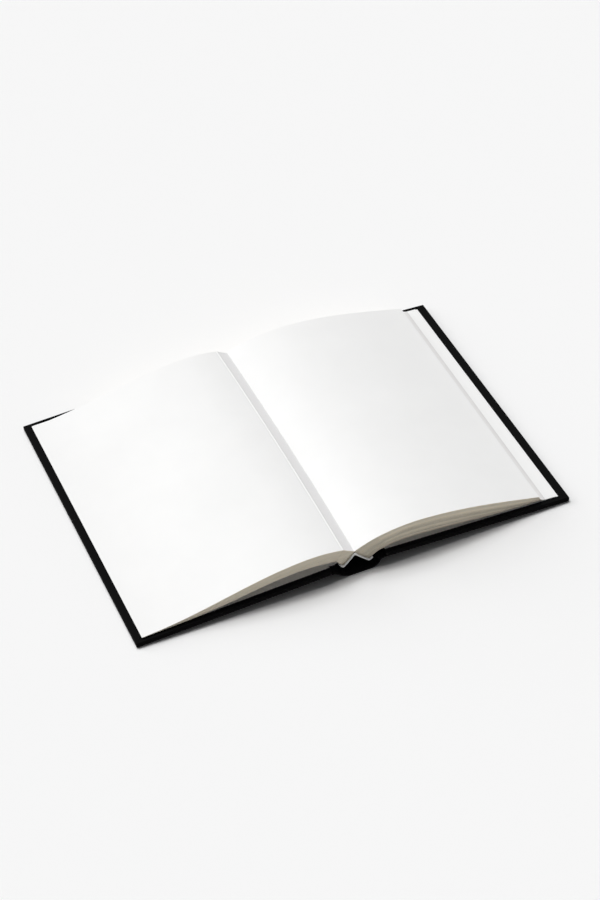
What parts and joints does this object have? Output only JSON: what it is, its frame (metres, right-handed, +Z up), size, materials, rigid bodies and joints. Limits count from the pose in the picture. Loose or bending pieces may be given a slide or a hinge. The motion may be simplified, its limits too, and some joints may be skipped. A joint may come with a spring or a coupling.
{
  "type": "photo book",
  "caption": "Empty photo book lying open: arched blank leaves in a cloth-covered case, with a hollow spine and covers that swing on their cloth joints.",
  "frame": {"origin": "middle of the open book's footprint, on the surface that it lies on", "axes": "+X across the spread towards the back cover's fore edge, +Y from the tail to the head, +Z up"},
  "size_m": [0.3054, 0.2172, 0.0261],
  "materials": {
    "leaves": "smooth uncoated white card",
    "endpapers": "uncoated white paper",
    "lining": "open-weave cloth with paper over it",
    "bands": "white corded cotton",
    "board": "dense grey board",
    "covering": "matt black book cloth"
  },
  "bodies": {
    "book_block": {"pages": "leaves", "front_flyleaf": "endpapers", "back_flyleaf": "endpapers", "spine_lining": "lining", "head_band": "bands", "tail_band": "bands", "spine_card": "board", "spine_covering": "covering"},
    "front_cover": {"front_board": "board", "front_covering": "covering", "front_pastedown": "endpapers"},
    "back_cover": {"back_board": "board", "back_covering": "covering", "back_pastedown": "endpapers"}
  },
  "joints": [
    {"name": "front_cover_hinge", "type": "hinge", "parent": "book_block", "child": "front_cover", "pos_m": [-0.01855, 0, 0.0062], "axis": [0, -1, 0], "range_deg": [0, 90]},
    {"name": "back_cover_hinge", "type": "hinge", "parent": "book_block", "child": "back_cover", "pos_m": [0.01855, 0, 0.0062], "axis": [0, 1, 0], "range_deg": [0, 90]}
  ]
}
